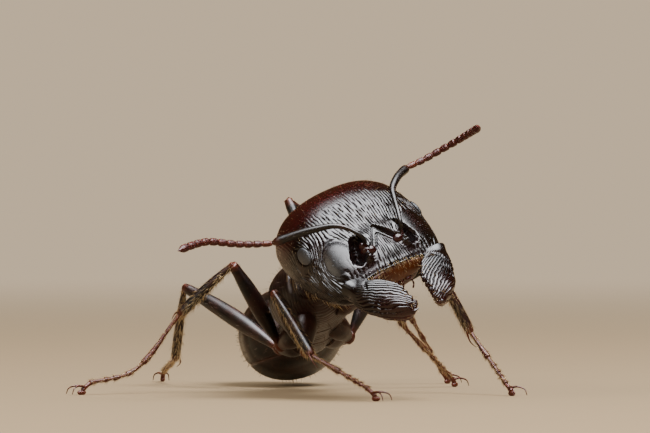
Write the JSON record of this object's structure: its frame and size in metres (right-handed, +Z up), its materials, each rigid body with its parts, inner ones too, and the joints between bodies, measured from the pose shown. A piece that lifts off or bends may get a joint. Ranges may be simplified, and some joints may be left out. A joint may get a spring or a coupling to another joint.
{
  "type": "harvester ant",
  "caption": "Life-size big-headed worker ant standing on six legs, head raised and turned, jaws open, one feeler held out and one up.",
  "frame": {"origin": "middle of the bounding box, on the floor that the feet stand on", "axes": "+Z up, -Y ahead of the ant, +X to the ant's left"},
  "size_m": [0.0118, 0.0156, 0.007],
  "materials": {
    "body_shell": "smooth black chitin",
    "eye_shell": "grey-black compound eye",
    "leg_shell": "black-brown, glossy",
    "flagellum_shell": "dark red-brown",
    "tarsus_shell": "brown, hairy",
    "head_shell": "smooth dark chitin, near black with a maroon tinge",
    "jaw_shell": "ridged black-brown jaw",
    "amber_mouth": "amber, slightly translucent"
  },
  "bodies": {
    "root": {"coxa_front_left": "body_shell", "coxa_front_right": "body_shell", "coxa_hind_left": "body_shell", "coxa_hind_right": "body_shell", "coxa_middle_left": "body_shell", "coxa_middle_right": "body_shell", "eye_left": "eye_shell", "eye_right": "eye_shell", "femur_front_left": "leg_shell", "femur_front_right": "leg_shell", "femur_hind_left": "leg_shell", "femur_hind_right": "leg_shell", "femur_middle_left": "leg_shell", "femur_middle_right": "leg_shell", "flagellum_left": "flagellum_shell", "flagellum_right": "flagellum_shell", "foot_front_left": "tarsus_shell", "foot_front_right": "tarsus_shell", "foot_hind_left": "tarsus_shell", "foot_hind_right": "tarsus_shell", "foot_middle_left": "tarsus_shell", "foot_middle_right": "tarsus_shell", "gaster_plate_1": "body_shell", "gaster_plate_2": "body_shell", "gaster_plate_3": "body_shell", "gaster_plate_4": "body_shell", "head": "head_shell", "mandible_left": "jaw_shell", "mandible_right": "jaw_shell", "mesothorax": "body_shell", "mouthparts": "amber_mouth", "neck": "body_shell", "petiole": "body_shell", "postpetiole": "body_shell", "pronotum": "body_shell", "propodeum": "body_shell", "scape_left": "body_shell", "scape_right": "body_shell", "tarsus_front_left": "tarsus_shell", "tarsus_front_right": "tarsus_shell", "tarsus_hind_left": "tarsus_shell", "tarsus_hind_right": "tarsus_shell", "tarsus_middle_left": "tarsus_shell", "tarsus_middle_right": "tarsus_shell", "tibia_front_left": "leg_shell", "tibia_front_right": "leg_shell", "tibia_hind_left": "leg_shell", "tibia_hind_right": "leg_shell", "tibia_middle_left": "leg_shell", "tibia_middle_right": "leg_shell"}
  },
  "joints": []
}
